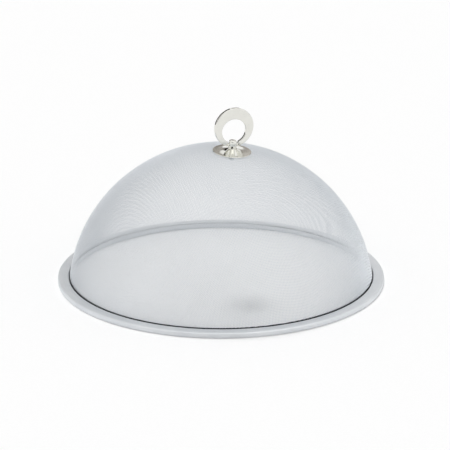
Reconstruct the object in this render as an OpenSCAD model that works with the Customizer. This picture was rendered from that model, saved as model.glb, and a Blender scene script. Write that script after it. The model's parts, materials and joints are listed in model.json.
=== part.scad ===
// Wire-mesh food cover: a domed fly screen of woven wire, clamped at its edge
// in a rolled steel rim, with a swinging ring on the crown to lift it by.
// Millimetres, +Z up. The origin lies on the table under the centre of the rim.

/* [Rim] */
// Outside diameter over the rolled rim
rim_outside = 350; // [260:1:460]
// Width of the rolled rim, from the line of the mesh to its outside
rim_width = 13; // [10:0.5:20]
// Height of the rolled rim above the table
rim_height = 5.5; // [5:0.5:12]
// Thickness of the sheet steel that the rim is rolled from
sheet = 0.7; // [0.5:0.1:1]
// Diameter of the hoop wire inside the rim
hoop_wire = 3; // [2:0.5:4]

/* [Mesh dome] */
// Height of the mesh crown above the table
dome_height = 145; // [100:1:190]
// Spacing of neighbouring wires along the wire that crosses them at the crown
wire_pitch = 10; // [8:0.5:14]
// Diameter of one mesh wire
wire = 0.9; // [0.7:0.1:1.2]

/* [Knob] */
// Distance of the knob from the middle of the dome
knob_offset = 14; // [0:0.5:20]
// Direction of the knob from the middle of the dome, in degrees from the right towards the back
knob_bearing = -54; // [-180:1:180]
// Diameter of the rosette
rosette_diameter = 41; // [34:1:54]
// Height of the rosette at the foot of the post
rosette_height = 2.6; // [2:0.1:7]
// Thickness of the rosette at its edge
rosette_edge = 0.9; // [0.6:0.1:1.5]
// Diameter of the turned post
post_diameter = 8.4; // [6.2:0.1:11]
// Height of the post above the rosette
post_height = 10.4; // [8:0.1:16]

/* [Ring] */
// Outside diameter of the ring
ring_outside = 43; // [36:0.5:56]
// Width of the ring at its top
ring_top_band = 12.2; // [6:0.1:16]
// Width of the ring at its foot
ring_foot_band = 4.4; // [3.6:0.1:5]
// Thickness of the flat ring
ring_thickness = 3.6; // [3:0.1:4]
// Bevel along the ring's edges
ring_bevel = 1; // [0.2:0.1:1.2]
// Height of the ring's hinge above the rosette
hinge_height = 3.9; // [3:0.1:6]

/* [Fixing] */
// Diameter of the post's threaded shank
shank = 4; // [3:0.5:6]
// Diameter of the backing washer inside the dome
backing_diameter = 24; // [20:1:40]
// Thickness of the backing washer at its middle
backing_thickness = 1.8; // [1.4:0.1:4]
// Thickness of the spring washer
spring_thickness = 0.9; // [0.6:0.1:2]
// Width of the spring washer's section
spring_width = 1.5; // [1:0.1:3]
// Width of the cap nut across its flats
nut_flats = 7; // [6:0.5:11]
// Height of the cap nut's hexagon
nut_height = 3.2; // [2.4:0.1:8]

/* [Hidden] */
// Gap left where one curved face seats on another
seat_gap = 0.1;
// Gap between the wires of the two layers
layer_gap = 0.3;
// Room for the mesh on each side of it in the rim's slot
slot_gap = 0.2;
// Radial clearance of the ring's bar in the post
bar_gap = 0.08;
// Room for the ring beside the post
ring_gap = 0.5;
// Step from the ring's flat face down to its round bar
bar_step = 0.1;
// Radial clearance of the shank in the nut's thread
thread_gap = 0.05;
// Radial clearance of the shank in plain holes
hole_gap = 0.3;
// Room between the shank and the cut ends of the mesh
punch_gap = 0.8;
// Room above the rim's floor for the cut ends of the mesh
foot_gap = 0.8;
// Step from the nut's flats in to its cap
cap_step = 0.25;
// Room past the shank's end inside the cap nut
cap_room = 0.4;

// The mesh lies on a sphere through the crown and through the rim's mesh line.
mesh_radius = rim_outside / 2 - rim_width;
mesh_rise = dome_height - rim_height;
dome_radius = (mesh_radius * mesh_radius + mesh_rise * mesh_rise) / (2 * mesh_rise);
dome_centre = dome_height - dome_radius;
layer = wire + layer_gap;
mesh_half = layer / 2 + wire / 2;

bead_radius = rim_height / 2;
slot_outer = dome_radius + mesh_half + slot_gap;
lip_outer = dome_radius - mesh_half - slot_gap;
lip_inner = lip_outer - sheet;

wire_foot = sheet + foot_gap;
wire_top = rim_height + wire_pitch / 3;
wire_span = acos((wire_top - dome_centre) / dome_radius) * PI / 180;
wires_each_side = floor(wire_span * dome_radius / wire_pitch);

knob_tilt = asin(knob_offset / dome_radius);
rosette_seat = dome_radius + mesh_half + seat_gap;
rosette_radius = rosette_diameter / 2;
rosette_top = rosette_seat + rosette_height;
rosette_rim = sqrt(rosette_seat * rosette_seat - rosette_radius * rosette_radius) + rosette_edge;
post_radius = post_diameter / 2;
post_foot = post_radius + ring_gap;
flare_drop = rosette_top - rosette_rim;
flare_run = rosette_radius - post_foot;
flare_radius = (flare_run * flare_run + flare_drop * flare_drop) / (2 * flare_drop);

bar = ring_thickness - 2 * bar_step;
ring_axis = rosette_top + hinge_height;
ring_radius = ring_outside / 2;
ring_centre = ring_axis - ring_foot_band / 2 + ring_radius;
ring_hole = ring_outside - ring_top_band - ring_foot_band;
hole_centre = ring_axis + ring_foot_band / 2 + ring_hole / 2;
fork_half = post_radius + ring_gap;

backing_seat = dome_radius - mesh_half - seat_gap;
backing_foot = backing_seat - backing_thickness;
spring_foot = backing_foot - spring_thickness;
nut_foot = spring_foot - nut_height;
nut_cap = nut_flats / 2 - cap_step;
punch_radius = shank / 2 + punch_gap;

steel_grey = "#C9CDD0";
zinc_grey = "#B9BEC2";
nickel = "#DAD7D0";

$fn = 120;

// Places children on the knob's own axis, measured from the middle of the dome's sphere.
module on_knob() {
    translate([0, 0, dome_centre])
        rotate([0, 0, knob_bearing])
            rotate([0, knob_tilt, 0])
                rotate([0, 0, -knob_bearing]) children();
}

// One run of wire in the plane of its own loop, between two angles from the loop's top.
module wire_run(loop, from, to) {
    rotate([0, 90, 0])
        rotate([0, 0, 180 - to])
            rotate_extrude(angle = to - from, $fn = 180)
                translate([loop, 0]) circle(d = wire, $fn = 36);
}

// One mesh wire: an arc on a sphere. Its plane stands off the crown by the arc
// length t, in radians, and leans as a wire does in cloth pressed into a dome.
// knob points from the middle of the sphere to the knob; a wire that meets the
// knob's shank is cut off on both sides of it.
module wire_arc(t, sphere_radius, knob) {
    away = atan(t);
    lean = t * 180 / PI - away;
    loop = sphere_radius * cos(away);
    sunk = sphere_radius * sin(lean) * sin(away);
    reach = acos((wire_foot - dome_centre + sunk) / (loop * cos(lean)));
    knob_up = sin(lean) * knob.x + cos(lean) * knob.z;
    knob_aside = cos(lean) * knob.x - sin(lean) * knob.z;
    knob_turn = atan2(knob.y, knob_up);
    clear = cos(asin(punch_radius / sphere_radius));
    cut = (clear - sin(away) * knob_aside) / (cos(away) * norm([knob_up, knob.y]));
    rotate([0, lean, 0])
        translate([sphere_radius * sin(away), 0, 0])
            if (cut >= 1) {
                wire_run(loop, -reach, reach);
            } else {
                wire_run(loop, -reach, knob_turn - acos(cut));
                wire_run(loop, knob_turn + acos(cut), reach);
            }
}

// One layer of wires side by side, turned about the upright axis.
module wire_layer(sphere_radius, turn) {
    aim = knob_bearing - turn;
    knob = [sin(knob_tilt) * cos(aim), sin(knob_tilt) * sin(aim), cos(knob_tilt)];
    translate([0, 0, dome_centre]) rotate([0, 0, turn])
        for (i = [-wires_each_side : wires_each_side])
            wire_arc(i * wire_pitch / dome_radius, sphere_radius, knob);
}

module warp_wires() {
    color(steel_grey) wire_layer(dome_radius + layer / 2, 0);
}

module weft_wires() {
    color(steel_grey) wire_layer(dome_radius - layer / 2, 90);
}

// Outline of the bead, drawn in from its outside by a distance.
module bead(inset) {
    outside = rim_outside / 2 - bead_radius;
    start = mesh_radius - rim_width;
    translate([outside, bead_radius]) circle(r = bead_radius - inset);
    translate([start, inset]) square([outside - start, rim_height - 2 * inset]);
}

// A disc of the dome's sphere, seen in the rim's section.
module ball(radius) {
    translate([0, dome_centre]) circle(r = radius, $fn = 360);
}

module rim_section() {
    difference() {
        bead(0);
        bead(sheet);
        ball(lip_inner);
        intersection() {
            ball(slot_outer);
            translate([0, sheet]) square([rim_outside, rim_height]);
        }
    }
    intersection() {
        difference() {
            ball(lip_outer);
            ball(lip_inner);
        }
        translate([mesh_radius - rim_width, 0]) square([rim_width + mesh_half, rim_height]);
    }
}

module rolled_rim() {
    color(zinc_grey) rotate_extrude($fn = 360) rim_section();
}

module rim_hoop() {
    color(zinc_grey)
        translate([0, 0, sheet + hoop_wire / 2 + seat_gap / 2])
            rotate_extrude($fn = 360)
                translate([rim_outside / 2 - bead_radius, 0]) circle(d = hoop_wire, $fn = 48);
}

// A shallow trumpet with a hollow seat that follows the mesh.
module rosette() {
    color(nickel) on_knob()
        difference() {
            rotate_extrude()
                difference() {
                    translate([0, rosette_rim - 2 * rosette_edge])
                        square([rosette_radius, rosette_top - rosette_rim + 2 * rosette_edge]);
                    translate([rosette_radius, rosette_rim + flare_radius]) circle(r = flare_radius, $fn = 360);
                    circle(r = rosette_seat, $fn = 720);
                }
            translate([0, 0, rosette_seat - 5]) cylinder(d = shank + 2 * hole_gap, h = 20);
        }
}

// The turned post: a round-topped head, cross-bored for the ring, on a threaded shank.
module ring_post() {
    color(nickel) on_knob() {
        difference() {
            union() {
                translate([0, 0, rosette_top]) cylinder(r = post_radius, h = post_height - post_radius);
                translate([0, 0, rosette_top + post_height - post_radius]) sphere(r = post_radius);
            }
            translate([-post_diameter, 0, ring_axis])
                rotate([0, 90, 0]) cylinder(d = bar + 2 * bar_gap, h = 2 * post_diameter);
        }
        translate([0, 0, nut_foot]) cylinder(d = shank, h = rosette_top - nut_foot);
    }
}

// A disc with bevelled edges, standing in the XZ plane.
module bevelled_disc(radius, thickness, bevel) {
    rotate([90, 0, 0]) {
        translate([0, 0, bevel - thickness / 2]) cylinder(r = radius, h = thickness - 2 * bevel);
        translate([0, 0, -thickness / 2]) cylinder(r1 = radius - bevel, r2 = radius, h = bevel);
        translate([0, 0, thickness / 2 - bevel]) cylinder(r1 = radius, r2 = radius - bevel, h = bevel);
    }
}

// The finger hole, opened out by the bevel at both faces.
module bevelled_hole(radius, thickness, bevel) {
    rotate([90, 0, 0]) {
        translate([0, 0, -thickness]) cylinder(r = radius, h = 2 * thickness);
        translate([0, 0, -thickness / 2 - bevel]) cylinder(r1 = radius + 2 * bevel, r2 = radius, h = 2 * bevel);
        translate([0, 0, thickness / 2 - bevel]) cylinder(r1 = radius, r2 = radius + 2 * bevel, h = 2 * bevel);
    }
}

// The flat crescent ring. Its foot narrows to a round bar that turns in the post.
module ring_handle() {
    color(nickel) on_knob() {
        difference() {
            translate([0, 0, ring_centre]) bevelled_disc(ring_radius, ring_thickness, ring_bevel);
            translate([0, 0, hole_centre]) bevelled_hole(ring_hole / 2, ring_thickness, ring_bevel);
            translate([-fork_half, -ring_thickness, ring_axis - 2 * ring_foot_band])
                cube([2 * fork_half, 2 * ring_thickness, 3 * ring_foot_band]);
        }
        translate([-fork_half - 1, 0, ring_axis]) rotate([0, 90, 0]) cylinder(d = bar, h = 2 * fork_half + 2);
    }
}

// A washer whose upper face follows the inside of the mesh.
module backing_washer() {
    color(zinc_grey) on_knob()
        rotate_extrude()
            intersection() {
                circle(r = backing_seat, $fn = 720);
                translate([shank / 2 + hole_gap, backing_foot])
                    square([backing_diameter / 2 - shank / 2 - hole_gap, 2 * backing_thickness]);
            }
}

module spring_washer() {
    color(zinc_grey) on_knob() translate([0, 0, spring_foot])
        rotate([0, 0, 4])
            rotate_extrude(angle = 352)
                translate([shank / 2 + hole_gap, 0]) square([spring_width, spring_thickness]);
}

// A hexagon with a domed cap over the end of the shank.
module cap_nut() {
    color(zinc_grey) on_knob()
        difference() {
            union() {
                translate([0, 0, nut_foot]) cylinder(d = nut_flats / cos(30), h = nut_height, $fn = 6);
                translate([0, 0, nut_foot]) sphere(r = nut_cap);
            }
            translate([0, 0, nut_foot - cap_room])
                cylinder(d = shank + 2 * thread_gap, h = 2 * nut_height);
        }
}

warp_wires();
weft_wires();
rolled_rim();
rim_hoop();
rosette();
ring_post();
ring_handle();
backing_washer();
spring_washer();
cap_nut();
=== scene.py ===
# %% [markdown]
# A wire-mesh food cover
#
# This is a fly screen for a plate of food: a dome of woven wire, gripped at its edge by a
# rolled steel rim, with a nickel ring on the crown to lift it by. A solid model already gives
# each piece its size and place. The lesson dresses that model: it weaves the wire, turns and
# bends the metal parts, gives each one its finish, and sets it on a white studio table.

# %% Load the solid model
import json
import math

import bpy
import numpy as np
from mathutils import Matrix, Vector


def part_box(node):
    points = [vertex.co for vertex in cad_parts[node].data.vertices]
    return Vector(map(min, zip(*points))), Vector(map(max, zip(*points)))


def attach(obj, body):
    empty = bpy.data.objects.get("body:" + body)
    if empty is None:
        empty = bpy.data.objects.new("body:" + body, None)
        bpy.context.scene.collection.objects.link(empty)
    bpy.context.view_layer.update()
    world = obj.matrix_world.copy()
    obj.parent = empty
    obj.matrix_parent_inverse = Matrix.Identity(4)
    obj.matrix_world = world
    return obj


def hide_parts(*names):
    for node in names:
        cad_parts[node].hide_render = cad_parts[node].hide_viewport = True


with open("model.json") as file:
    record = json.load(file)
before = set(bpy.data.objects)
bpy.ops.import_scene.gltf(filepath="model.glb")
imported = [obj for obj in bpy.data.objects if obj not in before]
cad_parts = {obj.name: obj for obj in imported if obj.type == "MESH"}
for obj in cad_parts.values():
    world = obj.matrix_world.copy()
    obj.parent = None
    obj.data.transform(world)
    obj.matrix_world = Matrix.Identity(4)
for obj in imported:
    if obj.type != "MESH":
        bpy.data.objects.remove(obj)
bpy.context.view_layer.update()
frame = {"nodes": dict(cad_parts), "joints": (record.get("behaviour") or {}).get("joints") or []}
nodes = frame["nodes"]

# %% [markdown]
# The main sizes
#
# The rim and the hinge of the ring are read from the solid model, so the dressed pieces land
# on them by themselves. The dome is part of a sphere. Its radius follows from the height of the
# crown and from the circle in which the mesh meets the rim. The knob stands on the sphere too,
# so its axis runs from the middle of the sphere through the hinge. The mesh of the solid model
# is two layers of wire, and the sphere runs between them.

# %% Work out the dome and the knob's axes
MM = 0.001
RIM_WIDTH = 13 * MM
MESH_HALF = 1.05 * MM

rim_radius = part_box("rolled_rim")[1].x
rim_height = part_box("rolled_rim")[1].z
mesh_line = rim_radius - RIM_WIDTH
dome_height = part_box("warp_wires")[1].z - MESH_HALF
mesh_rise = dome_height - rim_height
dome_radius = (mesh_line ** 2 + mesh_rise ** 2) / (2 * mesh_rise)
dome_centre = Vector((0, 0, dome_height - dome_radius))

hinge = frame["joints"][0]
hinge_place = Vector(hinge["pos_m"])
hinge_height = (hinge_place - dome_centre).length
knob_up = (hinge_place - dome_centre).normalized()
knob_right = Vector(hinge["axis"]).normalized()
knob_back = knob_up.cross(knob_right)
knob_frame = Matrix((knob_right, knob_back, knob_up)).transposed().to_4x4()
knob_frame.translation = dome_centre
print("dome radius", round(dome_radius / MM, 2), "mm")
print("hinge", round(hinge_height / MM, 2), "mm from the middle of the dome")

# %% [markdown]
# Colours and nodes
#
# Colours are written as they look on a screen, as sRGB hex values, but a renderer mixes light
# in linear numbers, so one function turns the first into the second. A second small function
# adds a shader node: it takes the node's settings and its inputs, and an input that is another
# node's output becomes a link. With these two, a material reads like a list of what it is made of.
# Two more begin a material and turn its shader into a metal. A Mix node has sockets for numbers,
# vectors and colours at once, so the three that carry colour are named here.

# %% Helpers for materials
COLOUR_A, COLOUR_B, MIXED_COLOUR = 6, 7, 2


def linear(hex_colour):
    """An sRGB hex colour as linear red, green, blue and alpha."""
    parts = [int(hex_colour[i:i + 2], 16) / 255 for i in (1, 3, 5)]
    return [p / 12.92 if p <= 0.04045 else ((p + 0.055) / 1.055) ** 2.4 for p in parts] + [1]


def add(tree, kind, settings=None, inputs=None):
    """Adds a node with its settings; an input takes a value, or a link from a node's output."""
    node = tree.nodes.new(kind)
    for name, value in (settings or {}).items():
        setattr(node, name, value)
    for name, value in (inputs or {}).items():
        if isinstance(value, bpy.types.NodeSocket):
            tree.links.new(value, node.inputs[name])
        else:
            node.inputs[name].default_value = value
    return node


def start_material(name):
    """A new material with its node tree and its shader."""
    material = bpy.data.materials.new(name)
    material.use_nodes = True
    return material, material.node_tree, material.node_tree.nodes["Principled BSDF"]


def make_metal(tree, shader, colour, rough, bump):
    """Turns the shader into a metal with this colour, roughness and relief."""
    shader.inputs["Metallic"].default_value = 1
    tree.links.new(colour.outputs[MIXED_COLOUR], shader.inputs["Base Color"])
    tree.links.new(rough.outputs["Result"], shader.inputs["Roughness"])
    tree.links.new(bump.outputs["Normal"], shader.inputs["Normal"])


print("white is", linear("#FFFFFF"))

# %% [markdown]
# Tinned steel wire
#
# The mesh is drawn steel wire with a coat of tin. Drawing leaves it smooth, and the tin dulls
# a little in the air, so each wire has a soft sheen and a cool grey colour, and patches of cloth
# differ slightly. At arm's length the eye sees that as cloudy tone, so a slow noise mixes two
# greys. The marks of the drawing die are far under 0.1 mm, too fine to show; they are drawn
# ten times coarser as a small bump. Where the wires go down into the rim, the shade of the slot
# is painted on the outside of the cloth: below that height the grey turns nearly black, but only
# on the side of a wire that faces away from the middle of the dome.

# %% Make the wire's finish
WIRE_GREYS = ("#E2E6EA", "#EDF0F3")
WIRE_CLOUD = 45 * MM
DIE_MARK = 0.8 * MM
DIE_MARK_DEPTH = 0.02 * MM
WIRE_ROUGHNESS = (0.36, 0.5)
# Painted shade of the slot where the mesh goes down into the rim.
PAINTED_SLOT_SHADE = "#2B2D2F"
SLOT_SHADE_FADE = 0.5 * MM


def tinned_wire():
    material, tree, shader = start_material("tinned_steel_drawn_wire")
    own = add(tree, "ShaderNodeTexCoord").outputs
    place = own["Object"]
    cloud = add(tree, "ShaderNodeTexNoise", {}, {
        "Vector": place, "Scale": 1 / WIRE_CLOUD, "Detail": 3})
    marks = add(tree, "ShaderNodeTexNoise", {}, {
        "Vector": place, "Scale": 1 / DIE_MARK, "Detail": 1})
    tin = add(tree, "ShaderNodeMix", {"data_type": "RGBA"}, {
        "Factor": cloud.outputs["Fac"],
        COLOUR_A: linear(WIRE_GREYS[0]), COLOUR_B: linear(WIRE_GREYS[1])})
    height = add(tree, "ShaderNodeSeparateXYZ", {}, {"Vector": place}).outputs["Z"]
    above_rim = add(tree, "ShaderNodeMapRange", {}, {
        "Value": height, "From Min": rim_height, "From Max": rim_height + SLOT_SHADE_FADE})
    outward = add(tree, "ShaderNodeVectorMath", {"operation": "SUBTRACT"}, {
        0: place, 1: dome_centre})
    facing = add(tree, "ShaderNodeVectorMath", {"operation": "DOT_PRODUCT"}, {
        0: outward.outputs["Vector"], 1: own["Normal"]})
    inner_side = add(tree, "ShaderNodeMath", {"operation": "LESS_THAN"}, {
        0: facing.outputs["Value"], 1: 0})
    unshaded = add(tree, "ShaderNodeMath", {"operation": "MAXIMUM"}, {
        0: above_rim.outputs["Result"], 1: inner_side.outputs["Value"]})
    # Below the rim's top, the outer side of each wire is painted nearly black: painted shade of the
    # slot.
    colour = add(tree, "ShaderNodeMix", {"data_type": "RGBA"}, {
        "Factor": unshaded.outputs["Value"],
        COLOUR_A: linear(PAINTED_SLOT_SHADE), COLOUR_B: tin.outputs[MIXED_COLOUR]})
    rough = add(tree, "ShaderNodeMapRange", {}, {
        "Value": marks.outputs["Fac"], "To Min": WIRE_ROUGHNESS[0], "To Max": WIRE_ROUGHNESS[1]})
    bump = add(tree, "ShaderNodeBump", {}, {
        "Height": marks.outputs["Fac"], "Strength": 0.2, "Distance": DIE_MARK_DEPTH})
    make_metal(tree, shader, colour, rough, bump)
    return material


wire_finish = tinned_wire()
print("made", wire_finish.name)

# %% [markdown]
# Rolled sheet steel
#
# The rim is a strip of tinned sheet steel, bent to a tube by rollers. The rollers leave long
# faint streaks that run along the strip, so the sheen is drawn out sideways. The streaks follow
# the piece's own map, in metres along and across the strip. A real streak is about 0.05 mm wide;
# here it is 0.5 mm, or the picture would not show it. The outside of the lip, deep in the slot
# that holds the mesh, is painted dark as the shade of the slot. That face has one distance from
# the middle of the dome, so the distance alone finds it.

# %% Make the rim's finish
RIM_GREYS = ("#DFE2E5", "#E9EBED")
RIM_CLOUD = 30 * MM
RIM_CONTRAST = (0.12, 0.4)
STREAK_LENGTH = 60 * MM
STREAK_WIDTH = 0.5 * MM
STREAK_DEPTH = 0.02 * MM
RIM_ROUGHNESS = (0.58, 0.7)
SLOT_ROOM = 1.25 * MM
SLOT_SHADE_DEPTH = 0.2 * MM


def rolled_sheet():
    material, tree, shader = start_material("tinned_sheet_steel_rolled")
    along = add(tree, "ShaderNodeUVMap", {"uv_map": "strip"}).outputs["UV"]
    stretched = add(tree, "ShaderNodeMapping", {}, {
        "Vector": along, "Scale": (1 / STREAK_LENGTH, 1 / STREAK_WIDTH, 1)})
    streak = add(tree, "ShaderNodeTexNoise", {}, {
        "Vector": stretched.outputs["Vector"], "Scale": 1, "Detail": 2})
    cloud = add(tree, "ShaderNodeTexNoise", {}, {
        "Vector": along, "Scale": 1 / RIM_CLOUD, "Detail": 3})
    blend = add(tree, "ShaderNodeMath", {"operation": "MULTIPLY"}, {
        0: streak.outputs["Fac"], 1: cloud.outputs["Fac"]})
    tone = add(tree, "ShaderNodeMapRange", {}, {
        "Value": blend.outputs["Value"], "From Min": RIM_CONTRAST[0], "From Max": RIM_CONTRAST[1]})
    tin = add(tree, "ShaderNodeMix", {"data_type": "RGBA"}, {
        "Factor": tone.outputs["Result"],
        COLOUR_A: linear(RIM_GREYS[0]), COLOUR_B: linear(RIM_GREYS[1])})
    place = add(tree, "ShaderNodeTexCoord").outputs["Object"]
    distance = add(tree, "ShaderNodeVectorMath", {"operation": "DISTANCE"}, {
        0: place, 1: dome_centre})
    # The outside of the lip, deep in the slot, is painted dark: painted shade of the slot.
    in_slot = add(tree, "ShaderNodeMath", {"operation": "COMPARE"}, {
        0: distance.outputs["Value"], 1: dome_radius - SLOT_ROOM, 2: SLOT_SHADE_DEPTH})
    colour = add(tree, "ShaderNodeMix", {"data_type": "RGBA"}, {
        "Factor": in_slot.outputs["Value"],
        COLOUR_A: tin.outputs[MIXED_COLOUR], COLOUR_B: linear(PAINTED_SLOT_SHADE)})
    rough = add(tree, "ShaderNodeMapRange", {}, {
        "Value": streak.outputs["Fac"], "To Min": RIM_ROUGHNESS[0], "To Max": RIM_ROUGHNESS[1]})
    bump = add(tree, "ShaderNodeBump", {}, {
        "Height": streak.outputs["Fac"], "Strength": 0.25, "Distance": STREAK_DEPTH})
    make_metal(tree, shader, colour, rough, bump)
    return material


rim_finish = rolled_sheet()
print("made", rim_finish.name)

# %% [markdown]
# Polished nickel plate
#
# The rosette, the post and the ring are plated with nickel and buffed. Nickel is a warm white
# metal, so it gives back the room with a hint of cream. Buffing leaves a very slight waviness
# a few millimetres long, which makes reflections wander, and a haze where fingers touch it.

# %% Make the knob's finish
NICKEL_TONES = ("#EAEAE4", "#DDDCD6")
BUFF_WAVE = 6 * MM
BUFF_DEPTH = 0.05 * MM
HAZE_PATCH = 9 * MM
FINE_SCRATCH = 0.6 * MM
HAZE_CONTRAST = (0.1, 0.4)
NICKEL_ROUGHNESS = (0.06, 0.16)


def nickel_plate():
    material, tree, shader = start_material("nickel_plate_polished")
    place = add(tree, "ShaderNodeTexCoord").outputs["Object"]
    wave = add(tree, "ShaderNodeTexNoise", {}, {
        "Vector": place, "Scale": 1 / BUFF_WAVE, "Detail": 1})
    haze = add(tree, "ShaderNodeTexNoise", {}, {
        "Vector": place, "Scale": 1 / HAZE_PATCH, "Detail": 4})
    fine = add(tree, "ShaderNodeTexNoise", {}, {
        "Vector": place, "Scale": 1 / FINE_SCRATCH, "Detail": 2})
    colour = add(tree, "ShaderNodeMix", {"data_type": "RGBA"}, {
        "Factor": haze.outputs["Fac"],
        COLOUR_A: linear(NICKEL_TONES[0]), COLOUR_B: linear(NICKEL_TONES[1])})
    hazy = add(tree, "ShaderNodeMath", {"operation": "MULTIPLY"}, {
        0: haze.outputs["Fac"], 1: fine.outputs["Fac"]})
    rough = add(tree, "ShaderNodeMapRange", {}, {
        "Value": hazy.outputs["Value"], "From Min": HAZE_CONTRAST[0], "From Max": HAZE_CONTRAST[1],
        "To Min": NICKEL_ROUGHNESS[0], "To Max": NICKEL_ROUGHNESS[1]})
    bump = add(tree, "ShaderNodeBump", {}, {
        "Height": wave.outputs["Fac"], "Strength": 0.3, "Distance": BUFF_DEPTH})
    make_metal(tree, shader, colour, rough, bump)
    return material


knob_finish = nickel_plate()
print("made", knob_finish.name)

# %% [markdown]
# Zinc plate
#
# The washers and the nut inside the dome, and the hoop in the rim, are plain steel with a
# thin coat of zinc. Zinc grows in flakes, so the grey is mottled in small cells of a
# slightly different tone and shine.

# %% Make the fixings' finish
ZINC_GREYS = ("#D0D4D6", "#DFE2E4")
ZINC_FLAKE = 1.5 * MM
FLAKE_DEPTH = 0.02 * MM
ZINC_ROUGHNESS = (0.3, 0.46)


def zinc_plate():
    material, tree, shader = start_material("zinc_plate_on_steel")
    place = add(tree, "ShaderNodeTexCoord").outputs["Object"]
    flake = add(tree, "ShaderNodeTexVoronoi", {}, {"Vector": place, "Scale": 1 / ZINC_FLAKE})
    shade = add(tree, "ShaderNodeSeparateColor", {}, {"Color": flake.outputs["Color"]})
    colour = add(tree, "ShaderNodeMix", {"data_type": "RGBA"}, {
        "Factor": shade.outputs["Red"],
        COLOUR_A: linear(ZINC_GREYS[0]), COLOUR_B: linear(ZINC_GREYS[1])})
    rough = add(tree, "ShaderNodeMapRange", {}, {
        "Value": shade.outputs["Green"], "To Min": ZINC_ROUGHNESS[0], "To Max": ZINC_ROUGHNESS[1]})
    bump = add(tree, "ShaderNodeBump", {}, {
        "Height": flake.outputs["Distance"], "Strength": 0.2, "Distance": FLAKE_DEPTH})
    make_metal(tree, shader, colour, rough, bump)
    return material


fixing_finish = zinc_plate()
print("made", fixing_finish.name)

# %% [markdown]
# From points to a piece
#
# Every dressed piece ends the same way: its points and faces become a mesh, the mesh takes a
# finish, and the object is tied to the body that carries it. One function does that, so that
# no piece is left behind when the ring swings. Wires, rim, rosette and ring are all rings of
# points with faces between them, so a second function numbers the corners of those faces.

# %% Helpers that make a mesh and hand it over


def make_piece(name, points, faces, finish, body, stands_for, maps=None):
    """Builds a smooth mesh object that rides on a body in place of a node of the solid model."""
    mesh = bpy.data.meshes.new(name)
    mesh.from_pydata(points, [], faces)
    for map_name, corners in (maps or {}).items():
        layer = mesh.uv_layers.new(name=map_name)
        layer.uv.foreach_set("vector", np.asarray(corners, np.float32).ravel())
    mesh.polygons.foreach_set("use_smooth", np.ones(len(mesh.polygons), bool))
    mesh.materials.append(finish)
    mesh.validate()
    piece = bpy.data.objects.new(name, mesh)
    bpy.context.scene.collection.objects.link(piece)
    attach(piece, body)
    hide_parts(stands_for)
    print(name, "has", len(mesh.vertices), "points and", len(mesh.polygons), "faces")
    return piece


def tube_faces(rings, sides, closed):
    """Faces between neighbouring rings of points; in a closed tube the last ring meets the first."""
    gaps = rings if closed else rings - 1
    ring, side = np.meshgrid(np.arange(gaps), np.arange(sides), indexing="ij")
    next_ring, next_side = (ring + 1) % rings, (side + 1) % sides
    corners = [ring * sides + side, next_ring * sides + side,
               next_ring * sides + next_side, ring * sides + next_side]
    return np.stack(corners, -1).reshape(-1, 4)


print("a closed tube of 3 rings of 4 points has", len(tube_faces(3, 4, closed=True)), "faces")

# %% [markdown]
# The woven wire cloth
#
# The cloth starts as a flat square weave and is pressed over a dome. A wire can't stretch, so
# between two crossings it keeps its length and only the angles give: the squares turn into
# lozenges along the diagonals. On a sphere each wire of such a cloth lies very nearly in a
# plane. If a wire passes the crown at an arc t, in radians, its plane stands off the middle by
# the angle atan(t) and leans by what is left of t. Two such planes and the sphere give a crossing.
#
# Each wire goes over one neighbour and under the next, so its crossings are lifted off the
# sphere and sunk into it by turns. A shader could only paint this; real wires let the
# light and the view through, and cross behind each other as the photograph shows.

# %% Find the crossings of the cloth
WIRE = 0.33 * MM
PITCH = 1.6 * MM
CLOTH_FOOT = 2 * MM
SHANK_ROOM = 3.4 * MM

reach = int(dome_radius * math.pi / 2 / PITCH) + 1
arc = np.arange(-reach, reach + 1) * PITCH / dome_radius
away = np.arctan(arc)
lean = arc - away


def find_crossings():
    """Where wire i across and wire j along meet, and which of those places the cloth has."""
    stand_off = dome_radius * np.sin(away)
    off_i, off_j = np.meshgrid(stand_off, stand_off, indexing="ij")
    lean_i, lean_j = np.meshgrid(lean, lean, indexing="ij")
    nothing = np.zeros_like(off_i)
    normal_i = np.stack([np.cos(lean_i), nothing, -np.sin(lean_i)], -1)
    normal_j = np.stack([nothing, np.cos(lean_j), -np.sin(lean_j)], -1)
    slant = np.sin(lean_i) * np.sin(lean_j)
    square = 1 - slant ** 2
    part_i = (off_i - slant * off_j) / square
    part_j = (off_j - slant * off_i) / square
    left = dome_radius ** 2 - part_i ** 2 - part_j ** 2 - 2 * part_i * part_j * slant
    upward = np.sqrt(np.maximum(left, 0) / square)
    place = part_i[..., None] * normal_i + part_j[..., None] * normal_j
    place = place + upward[..., None] * np.cross(normal_i, normal_j)
    above_foot = place[..., 2] + dome_centre.z > CLOTH_FOOT
    from_shank = np.linalg.norm(np.cross(place, np.array(knob_up)), axis=-1)
    return place, (left > 0) & above_foot & (from_shank > SHANK_ROOM)


crossing, is_cloth = find_crossings()
print("the cloth has", int(is_cloth.sum()), "crossings, at", round(PITCH / MM, 2), "mm")

# %% [markdown]
# One wire
#
# Each wire is a thin tube with one ring of points at each crossing. The ring stands across the
# wire, on the sphere's own normal. A wire that meets the knob's shank is cut there, so a wire is
# one run or two. Six sides are enough for a wire that is thinner than a pixel.

# %% Sweep one wire
WIRE_SIDES = 6
WEAVE_GAP = 0.02 * MM
lift = WIRE / 2 + WEAVE_GAP
turns = np.arange(WIRE_SIDES) * 2 * math.pi / WIRE_SIDES


def runs_of(kept):
    """The start and the end of each unbroken stretch."""
    edges = np.flatnonzero(np.diff(np.concatenate([[0], kept.astype(int), [0]])))
    return [(start, end) for start, end in zip(edges[::2], edges[1::2]) if end - start > 1]


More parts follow.
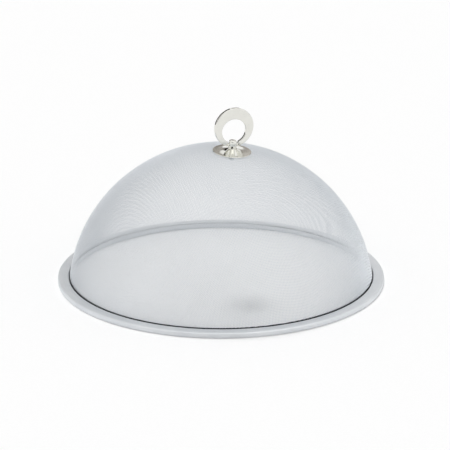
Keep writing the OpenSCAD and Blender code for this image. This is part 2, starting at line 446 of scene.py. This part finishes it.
def sweep_wire(middle, over):
    """Rings of points round a wire that is lifted where over is 1 and sunk where it is -1."""
    out = middle / np.linalg.norm(middle, axis=1, keepdims=True)
    side = np.cross(np.gradient(middle, axis=0), out)
    side /= np.linalg.norm(side, axis=1, keepdims=True)
    core = middle + out * (over * lift)[:, None]
    ring = np.cos(turns)[None, :, None] * side[:, None] + np.sin(turns)[None, :, None] * out[:, None]
    return core[:, None] + ring * WIRE / 2


for start, end in runs_of(is_cloth[reach]):
    print("the middle wire has a run of", end - start, "crossings")

# %% [markdown]
# The bands of wire
#
# All the wires of one direction could be one piece, but so many are heavy to handle, so each
# direction is shared out over a few bands. The map of a band is the flat cloth before it was
# pressed, on which no two wires overlap.

# %% Weave the bands
BANDS = 4


def weave(wires, along_i):
    """Points, faces and flat map of these wires; along_i says which way they run."""
    kept, places = (is_cloth.T, crossing.swapaxes(0, 1)) if along_i else (is_cloth, crossing)
    first_over = 1 if along_i else -1
    points, faces, flat, count = [], [], [], 0
    for wire in wires:
        across = wire + np.cos(turns) * WIRE / 2 / PITCH
        for start, end in runs_of(kept[wire]):
            steps = np.arange(start, end)
            over = np.where((steps + wire) % 2 == 0, first_over, -first_over)
            rings = sweep_wire(places[wire, start:end], over)
            points.append(rings.reshape(-1, 3) + np.array(dome_centre))
            faces.append(tube_faces(len(steps), WIRE_SIDES, closed=False) + count)
            laid_flat = np.broadcast_arrays(steps[:, None], across[None])
            flat.append(np.stack(laid_flat, -1).reshape(-1, 2))
            count += len(steps) * WIRE_SIDES
    points, faces, flat = np.concatenate(points), np.concatenate(faces), np.concatenate(flat)
    flat = (flat if along_i else flat[:, ::-1]) / (2 * reach)
    return points, faces, {"OFBake": flat[faces.ravel()]}


def share_out(counts, parts):
    """Neighbouring wires in groups that have about the same number of crossings."""
    done = np.cumsum(counts) / np.sum(counts)
    group = np.minimum((done * parts).astype(int), parts - 1)
    return [np.flatnonzero(group == part) for part in range(parts)]


for number, wires in enumerate(share_out(is_cloth.sum(1), BANDS), 1):
    points, faces, maps = weave(wires, along_i=False)
    make_piece(f"warp_cloth_{number}", points, faces, wire_finish,
               "cover", "warp_wires", maps)
for number, wires in enumerate(share_out(is_cloth.sum(0), BANDS), 1):
    points, faces, maps = weave(wires, along_i=True)
    make_piece(f"weft_cloth_{number}", points, faces, wire_finish,
               "cover", "weft_wires", maps)

# %% [markdown]
# Outlines with soft corners
#
# Turned and rolled parts are drawn as half a section and spun. No real edge is perfectly sharp,
# and it is the small rounding of an edge that catches the light. So an outline is written as
# corners, each with its own rounding, and one function draws the arcs. Two extra points beside
# each arc keep the flats flat when the mesh is shaded smooth.

# %% Soften an outline
ARC_STEPS = 6
HOLD = 0.04


def soften(corners):
    """Points along a closed outline whose corners are (x, y, rounding)."""
    points = []
    for k, (x, y, rounding) in enumerate(corners):
        corner = Vector((x, y))
        if rounding == 0:
            points.append(corner)
            continue
        before = (Vector(corners[k - 1][:2]) - corner).normalized()
        after = (Vector(corners[(k + 1) % len(corners)][:2]) - corner).normalized()
        half = before.angle(after) / 2
        setback = rounding / math.tan(half)
        middle = corner + (before + after).normalized() * rounding / math.sin(half)
        start, end = corner + before * setback - middle, corner + after * setback - middle
        sweep = start.angle_signed(end)
        points.append(corner + before * setback * (1 + HOLD))
        for step in range(ARC_STEPS + 1):
            points.append(middle + Matrix.Rotation(-sweep * step / ARC_STEPS, 2) @ start)
        points.append(corner + after * setback * (1 + HOLD))
    return [tuple(p) for p in points]


soft_square = soften([(0, 0, 0.1), (1, 0, 0.1), (1, 1, 0.1), (0, 1, 0.1)])
print("a soft square has", len(soft_square), "points")

# %% [markdown]
# Turned parts
#
# A spun outline could be left to a Screw modifier. Here the points are worked out directly,
# because the same function can then give each face its place on the strip before it was bent,
# and the streaks of the rollers follow that map.

# %% Turn an outline


def set_in_place(points, axes):
    """Points moved from a piece's own axes to where the piece belongs."""
    return points.reshape(-1, 3) @ np.array(axes.to_3x3()).T + np.array(axes.translation)


def spin(outline, steps, axes):
    """Points, faces and strip map of a closed outline turned round the upright axis."""
    outline = np.array(outline)
    count = len(outline)
    angles = np.arange(steps + 1) * 2 * math.pi / steps
    circle = np.stack([np.cos(angles), np.sin(angles)], -1)[:steps]
    points = np.empty((steps, count, 3))
    points[..., :2] = circle[:, None] * outline[None, :, :1]
    points[..., 2] = outline[None, :, 1]
    around = angles * outline[:, 0].max()
    lengths = np.linalg.norm(np.roll(outline, -1, 0) - outline, axis=1)
    ran = np.concatenate([[0], np.cumsum(lengths)])
    a, b = np.meshgrid(np.arange(steps), np.arange(count), indexing="ij")
    strip = [(around[a], ran[b]), (around[a + 1], ran[b]),
             (around[a + 1], ran[b + 1]), (around[a], ran[b + 1])]
    corners = np.stack([np.stack(pair, -1) for pair in strip], 2).reshape(-1, 2)
    return set_in_place(points, axes), tube_faces(steps, count, closed=True), {"strip": corners}


print("a square spun in 8 steps has", len(spin(soft_square, 8, Matrix())[1]), "faces")

# %% [markdown]
# The rolled rim
#
# The rim is one strip of sheet. It starts as a lip inside the mesh, runs under the cut ends of
# the wires, rolls round outside to a bead with a stiff hoop in it, and comes back over the top
# until its edge, turned down, presses on the mesh. The mesh stands in the slot that is left
# between the edge and the lip, and that slot is the dark line round the foot of the dome. The
# bead is pressed flat below, where it stands on the table, so its outside drops straight down.

# %% Roll the rim
SHEET = 0.7 * MM
SHARP_BEND = 0.2 * MM
LIP_ROUND = 0.3 * MM
EDGE_TURN = 0.9 * MM
EDGE_DROP = 2.2 * MM
BEAD_ROUND = 2.1 * MM
FOOT_ROUND = 0.6 * MM
RIM_STEPS = 288


def on_sphere(radius, height):
    """Distance from the upright axis at which a sphere round the dome's middle has this height."""
    return math.sqrt(radius ** 2 - (height - dome_centre.z) ** 2)


def rim_outline():
    edge = dome_radius + SLOT_ROOM
    lip_out = dome_radius - SLOT_ROOM
    lip_in = lip_out - SHEET
    low, high = SHEET, rim_height - SHEET
    drop = rim_height - EDGE_DROP
    return soften([
        (on_sphere(edge, drop), drop, SHARP_BEND),
        (on_sphere(edge, rim_height), rim_height, EDGE_TURN),
        (rim_radius, rim_height, BEAD_ROUND),
        (rim_radius, 0, FOOT_ROUND),
        (on_sphere(lip_in, 0), 0, FOOT_ROUND),
        (on_sphere(lip_in, rim_height), rim_height, LIP_ROUND),
        (on_sphere(lip_out, rim_height), rim_height, LIP_ROUND),
        (on_sphere(lip_out, low), low, SHARP_BEND),
        (rim_radius - SHEET, low, SHARP_BEND),
        (rim_radius - SHEET, high, BEAD_ROUND - SHEET),
        (on_sphere(edge + SHEET, high), high, SHARP_BEND),
        (on_sphere(edge + SHEET, drop), drop, SHARP_BEND),
    ])


points, faces, maps = spin(rim_outline(), RIM_STEPS, Matrix())
make_piece("rolled_rim_strip", points, faces, rim_finish, "cover", "rolled_rim", maps)

# %% [markdown]
# The rosette
#
# A small trumpet of pressed sheet hides the hole in the crown and spreads the pull of the ring
# over the mesh. Its underside follows the dome. Its top is one arc that lies flat at the edge and
# climbs to the post, so it mirrors the room as a bright middle between dark wings.

# %% Turn the rosette
ROSETTE_RADIUS = 20.5 * MM
ROSETTE_SEAT = 1.15 * MM
ROSETTE_HEIGHT = 2.6 * MM
ROSETTE_EDGE = 0.9 * MM
ROSETTE_BORE = 2.8 * MM
BRIM_ROUND = 0.4 * MM
BRIM_FOOT_ROUND = 0.3 * MM
POST_FOOT = 4.7 * MM
ROSETTE_STEPS = 128
FLARE_STEPS = 24


def rosette_outline():
    seat = dome_radius + ROSETTE_SEAT
    top = seat + ROSETTE_HEIGHT
    brim_low = math.sqrt(seat ** 2 - ROSETTE_RADIUS ** 2)
    brim = brim_low + ROSETTE_EDGE
    run, climb = ROSETTE_RADIUS - POST_FOOT, top - brim
    flare = (run ** 2 + climb ** 2) / (2 * climb)
    steepest = math.asin(run / flare)
    corners = [(ROSETTE_BORE, math.sqrt(seat ** 2 - ROSETTE_BORE ** 2), 0), (ROSETTE_BORE, top, 0)]
    for step in range(FLARE_STEPS):
        slope = steepest * (1 - step / FLARE_STEPS)
        inward, upward = flare * math.sin(slope), flare * (1 - math.cos(slope))
        corners.append((ROSETTE_RADIUS - inward, brim + upward, 0))
    corners.append((ROSETTE_RADIUS, brim, BRIM_ROUND))
    corners.append((ROSETTE_RADIUS, brim_low, BRIM_FOOT_ROUND))
    return soften(corners)


points, faces, maps = spin(rosette_outline(), ROSETTE_STEPS, knob_frame)
make_piece("rosette_trumpet", points, faces, knob_finish, "cover", "rosette", maps)

# %% [markdown]
# The ring
#
# The ring is a flat crescent: a round hole for a finger, cut off centre in a round blank, so the
# band is wide at the top and narrow at the foot. At the foot it thins to a round bar that turns
# in the post. One closed sweep makes all of that: its section is a flat bar with soft edges that
# changes into a circle near the post. The sections stand closer together there.

# %% Sweep the ring
RING_RADIUS = 21.5 * MM
RING_TOP_BAND = 12.2 * MM
RING_FOOT_BAND = 4.4 * MM
RING_THICKNESS = 3.6 * MM
RING_EDGE = 0.7 * MM
RING_BAR = 1.7 * MM
BAR_END = 4.8 * MM
BAND_START = 7.4 * MM
RING_STEPS = 160
FOOT_CROWDING = 0.55


def ease(share):
    """The same way from 0 to 1, but with a gentle start and end."""
    return share ** 2 * (3 - 2 * share)


def flat_bar(width, thickness):
    """The section of the band, with soft edges."""
    w, t = width / 2, thickness / 2
    return np.array(soften([(x, y, RING_EDGE) for x, y in ((w, t), (-w, t), (-w, -t), (w, -t))]))


def ring_section(angle):
    """The section at an angle round the hole, counted from the foot."""
    hole = RING_RADIUS - (RING_TOP_BAND + RING_FOOT_BAND) / 2
    hole_height = hinge_height + RING_FOOT_BAND / 2 + hole
    shift = (RING_FOOT_BAND - RING_TOP_BAND) / 2
    across = np.array([math.sin(angle), 0, -math.cos(angle)])
    outer = -shift * across[2] + math.sqrt(RING_RADIUS ** 2 - (shift * across[0]) ** 2)
    middle = np.array([0, 0, hole_height]) + across * (hole + outer) / 2
    bar_share = 0
    if middle[2] <= hole_height:
        bar_share = ease(np.clip((BAND_START - abs(middle[0])) / (BAND_START - BAR_END), 0, 1))
    middle[2] += (hinge_height - middle[2]) * bar_share
    turned = angle - 2 * math.pi if angle > math.pi else angle
    tilt = turned * (1 - bar_share)
    across = np.array([math.sin(tilt), 0, -math.cos(tilt)])
    band = flat_bar(outer - hole, RING_THICKNESS)
    bar = band / np.linalg.norm(band, axis=1, keepdims=True) * RING_BAR
    section = band + (bar - band) * bar_share
    return middle + section[:, :1] * across + section[:, 1:] * np.array([0, 1, 0])


even = np.arange(RING_STEPS) / RING_STEPS * 2 * math.pi
sections = np.array([ring_section(angle) for angle in even - FOOT_CROWDING * np.sin(even)])
# The sections follow each other the other way round here, so each face's corners are reversed.
reversed_corners = [0, 3, 2, 1]
faces = tube_faces(RING_STEPS, sections.shape[1], closed=True)[:, reversed_corners]
points = set_in_place(sections, knob_frame)
make_piece("ring_crescent", points, faces, knob_finish, "ring", "ring_handle")

# %% [markdown]
# The post
#
# The post is turned from bar, bored across for the ring, and threaded below. The solid model
# gives it the bore, a plain shank and half a ball for a top. A turner leaves the top lower and
# squarer, like the head of a rivet. So a copy of the solid's points is taken, and those of the
# ball are moved from a circle to a squarer curve; everything below stays as it is. A new outline
# could be spun instead, but the bore would then have to be cut again.

# %% Shape the post's top
POST_RADIUS = 4.2 * MM
POST_CROWN = 2.8 * MM
SQUARENESS = 0.55
SHARP_EDGE = math.radians(35)


def post_shape():
    """The points and faces of the solid post, with its half ball lowered and squared."""
    solid = nodes["ring_post"]
    up_axis, centre = np.array(knob_up), np.array(dome_centre)
    points = np.array([solid.matrix_world @ v.co for v in solid.data.vertices]) - centre
    height = points @ up_axis
    outward = points - height[:, None] * up_axis
    shoulder = height.max() - POST_RADIUS
    on_ball = height > shoulder
    up = np.clip((height[on_ball] - shoulder) / POST_RADIUS, 0, 1)
    out = np.sqrt(1 - up ** 2)
    spread = np.divide(out ** SQUARENESS, out, out=np.ones_like(out), where=out > 0)
    crown = shoulder + POST_CROWN * up ** SQUARENESS
    points[on_ball] = outward[on_ball] * spread[:, None] + np.outer(crown, up_axis)
    return points + centre, [tuple(face.vertices) for face in solid.data.polygons]


points, faces = post_shape()
post = make_piece("post_turned", points, faces, knob_finish, "cover", "ring_post")
post.data.set_sharp_from_angle(angle=SHARP_EDGE)

# %% [markdown]
# Pieces that keep their solid shape
#
# The washers, the cap nut and the hoop hidden in the rim are simple machined parts whose solid
# shapes are right as they are. They only need their finish.

# %% Finish the machined parts
for name in ("rim_hoop", "backing_washer", "spring_washer", "cap_nut"):
    nodes[name].data.materials.clear()
    nodes[name].data.materials.append(fixing_finish)
    print(name, "is finished in", fixing_finish.name)

# %% [markdown]
# The table
#
# The cover stands on a white table: a sheet of matt paper, so wide that its edge lies outside the
# picture. Paper has almost no shine, and its fibres only stir the white a little. They are drawn
# as tufts of 3 mm, since real ones are too fine to show.

# %% Lay the floor
FLOOR_SIZE = 14.0
PAPER_WHITES = ("#FBFBFB", "#FFFFFF")
PAPER_TUFT = 3 * MM
PAPER_ROUGHNESS = 0.9
PAPER_SHINE = 0.1


def paper_floor():
    material, tree, shader = start_material("matt_white_paper")
    place = add(tree, "ShaderNodeTexCoord").outputs["Object"]
    fibre = add(tree, "ShaderNodeTexNoise", {}, {
        "Vector": place, "Scale": 1 / PAPER_TUFT, "Detail": 2})
    colour = add(tree, "ShaderNodeMix", {"data_type": "RGBA"}, {
        "Factor": fibre.outputs["Fac"],
        COLOUR_A: linear(PAPER_WHITES[0]), COLOUR_B: linear(PAPER_WHITES[1])})
    tree.links.new(colour.outputs[MIXED_COLOUR], shader.inputs["Base Color"])
    shader.inputs["Roughness"].default_value = PAPER_ROUGHNESS
    shader.inputs["Specular IOR Level"].default_value = PAPER_SHINE
    return material


def make_sheet(name, corners, material):
    """A flat sheet with four corners that belongs to the studio, not to the cover."""
    mesh = bpy.data.meshes.new(name)
    mesh.from_pydata(corners, [], [(0, 1, 2, 3)])
    mesh.materials.append(material)
    sheet = bpy.data.objects.new(name, mesh)
    bpy.context.scene.collection.objects.link(sheet)
    return sheet


half = FLOOR_SIZE / 2
floor_corners = [(x * half, y * half, 0) for x, y in ((-1, -1), (1, -1), (1, 1), (-1, 1))]
make_sheet("table_top", floor_corners, paper_floor())
print("floor", FLOOR_SIZE, "m wide")

# %% [markdown]
# The light
#
# A camera ray that misses everything sees white, and so does a reflection; rays that only gather
# light see a dimmer sky, so that the shade under the mesh stays. A wide lamp behind and above
# lays the soft shadow of the knob in front. It isn't seen in the metal, which mirrors the white
# room instead.

# %% Light the studio
SKY_LEVEL = 0.6
BACK_LIGHT_FROM = Vector((0.05, 0.47, 0.88))
BACK_LIGHT_SPREAD = math.radians(14)
BACK_LIGHT_POWER = 1.46


def studio_world():
    world = bpy.data.worlds.new("white_studio")
    world.use_nodes = True
    tree = world.node_tree
    path = add(tree, "ShaderNodeLightPath")
    shown = add(tree, "ShaderNodeMath", {"operation": "MAXIMUM"}, {
        0: path.outputs["Is Camera Ray"], 1: path.outputs["Is Glossy Ray"]})
    seen = add(tree, "ShaderNodeMath", {"operation": "MAXIMUM"}, {
        0: shown.outputs["Value"], 1: path.outputs["Is Transmission Ray"]})
    level = add(tree, "ShaderNodeMapRange", {}, {
        "Value": seen.outputs["Value"], "To Min": SKY_LEVEL, "To Max": 1})
    tree.links.new(level.outputs["Result"], tree.nodes["Background"].inputs["Strength"])
    tree.nodes["Background"].inputs["Color"].default_value = linear("#FFFFFF")
    return world


bpy.context.scene.world = studio_world()
lamp = bpy.data.lights.new("soft_back_light", "SUN")
lamp.angle = BACK_LIGHT_SPREAD
lamp.energy = BACK_LIGHT_POWER
lamp_stand = bpy.data.objects.new("soft_back_light", lamp)
lamp_stand.rotation_mode = "QUATERNION"
lamp_stand.rotation_quaternion = (-BACK_LIGHT_FROM).to_track_quat("-Z", "Y")
lamp_stand.visible_glossy = False
bpy.context.scene.collection.objects.link(lamp_stand)
print("back light", BACK_LIGHT_POWER, "and sky", SKY_LEVEL)

# %% [markdown]
# The camera
#
# The photograph looks down on the cover from in front and a little from the left. The camera
# stands where the ellipse of the rim and the outline of the dome come out as in the photograph,
# with a long lens, and aims a little above the rim, so that the cover is in the middle of the
# picture.

# %% Set up the camera
VIEW_AZIMUTH = math.radians(-20)
VIEW_ELEVATION = math.radians(20.45)
VIEW_DISTANCE = 2.5
LENS_MM = 186
SENSOR_MM = 36
AIM_UP = 51.0 * MM
AIM_RIGHT = 4.3 * MM

straight_up = Vector((0, 0, 1))
to_right = Vector((math.cos(VIEW_AZIMUTH), math.sin(VIEW_AZIMUTH), 0))
to_back = straight_up.cross(to_right)
to_camera = straight_up * math.sin(VIEW_ELEVATION) - to_back * math.cos(VIEW_ELEVATION)
rim_middle = straight_up * rim_height

camera_data = bpy.data.cameras.new("view")
camera_data.lens = LENS_MM
camera_data.sensor_width = SENSOR_MM
camera = bpy.data.objects.new("view", camera_data)
camera.location = rim_middle + to_camera * VIEW_DISTANCE
aim = rim_middle + to_camera.cross(to_right) * AIM_UP + to_right * AIM_RIGHT
camera.rotation_mode = "QUATERNION"
camera.rotation_quaternion = (aim - camera.location).to_track_quat("-Z", "Y")
bpy.context.scene.collection.objects.link(camera)
bpy.context.scene.camera = camera
bpy.context.scene.view_settings.view_transform = "Standard"
print("camera", round(camera.location.length, 3), "m from the foot of the cover")

# %% [markdown]
# Felt and silk
#
# Polished metal shows the room it stands in, and in an all-white room it would have no shape at
# all. So the room has a few large panels of cloth. Wool felt is matt, so a panel has one tone
# wherever it is seen from; it hangs in folds, whose shade is painted: a noise the size of a fold
# mixes a lighter and a darker tone.
# White silk lets a lamp behind it shine through and looks evenly bright. Both are made as cloth
# that glows by its own tone, so that they show the same whatever light falls on them.

# %% Make the cloth of the panels
BLACK_TONES = ("#1C1A18", "#3E3A37")
GREY_TONES = ("#96918D", "#D2CECA")
DARK_TONES = ("#6C6863", "#B2AEA9")
SILK_TONES = ("#FFFFFF", "#FFFFFF")
SILK_GLOW = 1.7
FOLD = 300 * MM
FOLD_CONTRAST = (0.35, 0.65)


def hung_cloth(name, tones, glow=1):
    material, tree, shader = start_material(name)
    shader.inputs["Base Color"].default_value = linear("#000000")
    shader.inputs["Specular IOR Level"].default_value = 0
    place = add(tree, "ShaderNodeTexCoord").outputs["Object"]
    fold = add(tree, "ShaderNodeTexNoise", {}, {"Vector": place, "Scale": 1 / FOLD, "Detail": 1})
    # The fold noise paints the light and shade of the folds into the cloth's glow.
    fold_shade = add(tree, "ShaderNodeMapRange", {}, {
        "Value": fold.outputs["Fac"], "From Min": FOLD_CONTRAST[0], "From Max": FOLD_CONTRAST[1]})
    tone = add(tree, "ShaderNodeMix", {"data_type": "RGBA"}, {
        "Factor": fold_shade.outputs["Result"], COLOUR_A: linear(tones[0]), COLOUR_B: linear(tones[1])})
    tree.links.new(tone.outputs[MIXED_COLOUR], shader.inputs["Emission Color"])
    shader.inputs["Emission Strength"].default_value = glow
    print("made", name)
    return material


black_felt = hung_cloth("wool_felt_black_hung", BLACK_TONES)
grey_felt = hung_cloth("wool_felt_grey_hung", GREY_TONES)
dark_felt = hung_cloth("wool_felt_dark_grey_hung", DARK_TONES)
white_silk = hung_cloth("white_silk_lit_from_behind", SILK_TONES, SILK_GLOW)

# %% [markdown]
# The backdrop
#
# The panels hang well away from the cover: grey and black felt behind, at both sides and low in
# front, and the silk high in front. The small tilts of the rosette and the ring pick them out as
# dark wings, dark edges and a bright middle. Only reflections see the panels, so none of them
# stands in the picture or takes light from the table. A corner of a panel is given as seen from
# the knob: degrees to the right of straight behind, and degrees up.

# %% Hang the panels
PANEL_DISTANCE = 1.6


def hang_panel(name, cloth, corners):
    """Hangs a panel in the room, by the directions of its four corners in degrees."""
    places = []
    for right, up in np.radians(corners):
        level = to_right * math.sin(right) + to_back * math.cos(right)
        direction = level * math.cos(up) + straight_up * math.sin(up)
        places.append(hinge_place + direction * PANEL_DISTANCE)
    panel = make_sheet(name, places, cloth)
    for ray in ("camera", "diffuse", "transmission", "shadow"):
        setattr(panel, "visible_" + ray, False)
    print(name, "hangs", PANEL_DISTANCE, "m from the knob")


hang_panel("felt_behind_right", grey_felt, [(3, 13), (17, 12), (17, 33), (3, 31)])
hang_panel("felt_behind", dark_felt, [(-10, 11), (3, 11), (3, 31), (-10, 29)])
hang_panel("felt_behind_left", black_felt, [(-30, 18), (-10, 18), (-10, 42), (-30, 42)])
hang_panel("felt_left", black_felt, [(-54, -5), (-38, -5), (-28, 40), (-44, 36)])
hang_panel("felt_right", black_felt, [(38, -5), (54, -5), (48, 33), (34, 33)])
hang_panel("felt_in_front", black_felt, [(159, -5), (215, -5), (213, 18), (161, 18)])
hang_panel("silk_in_front", white_silk, [(112, 33), (192, 33), (192, 58), (112, 58)])
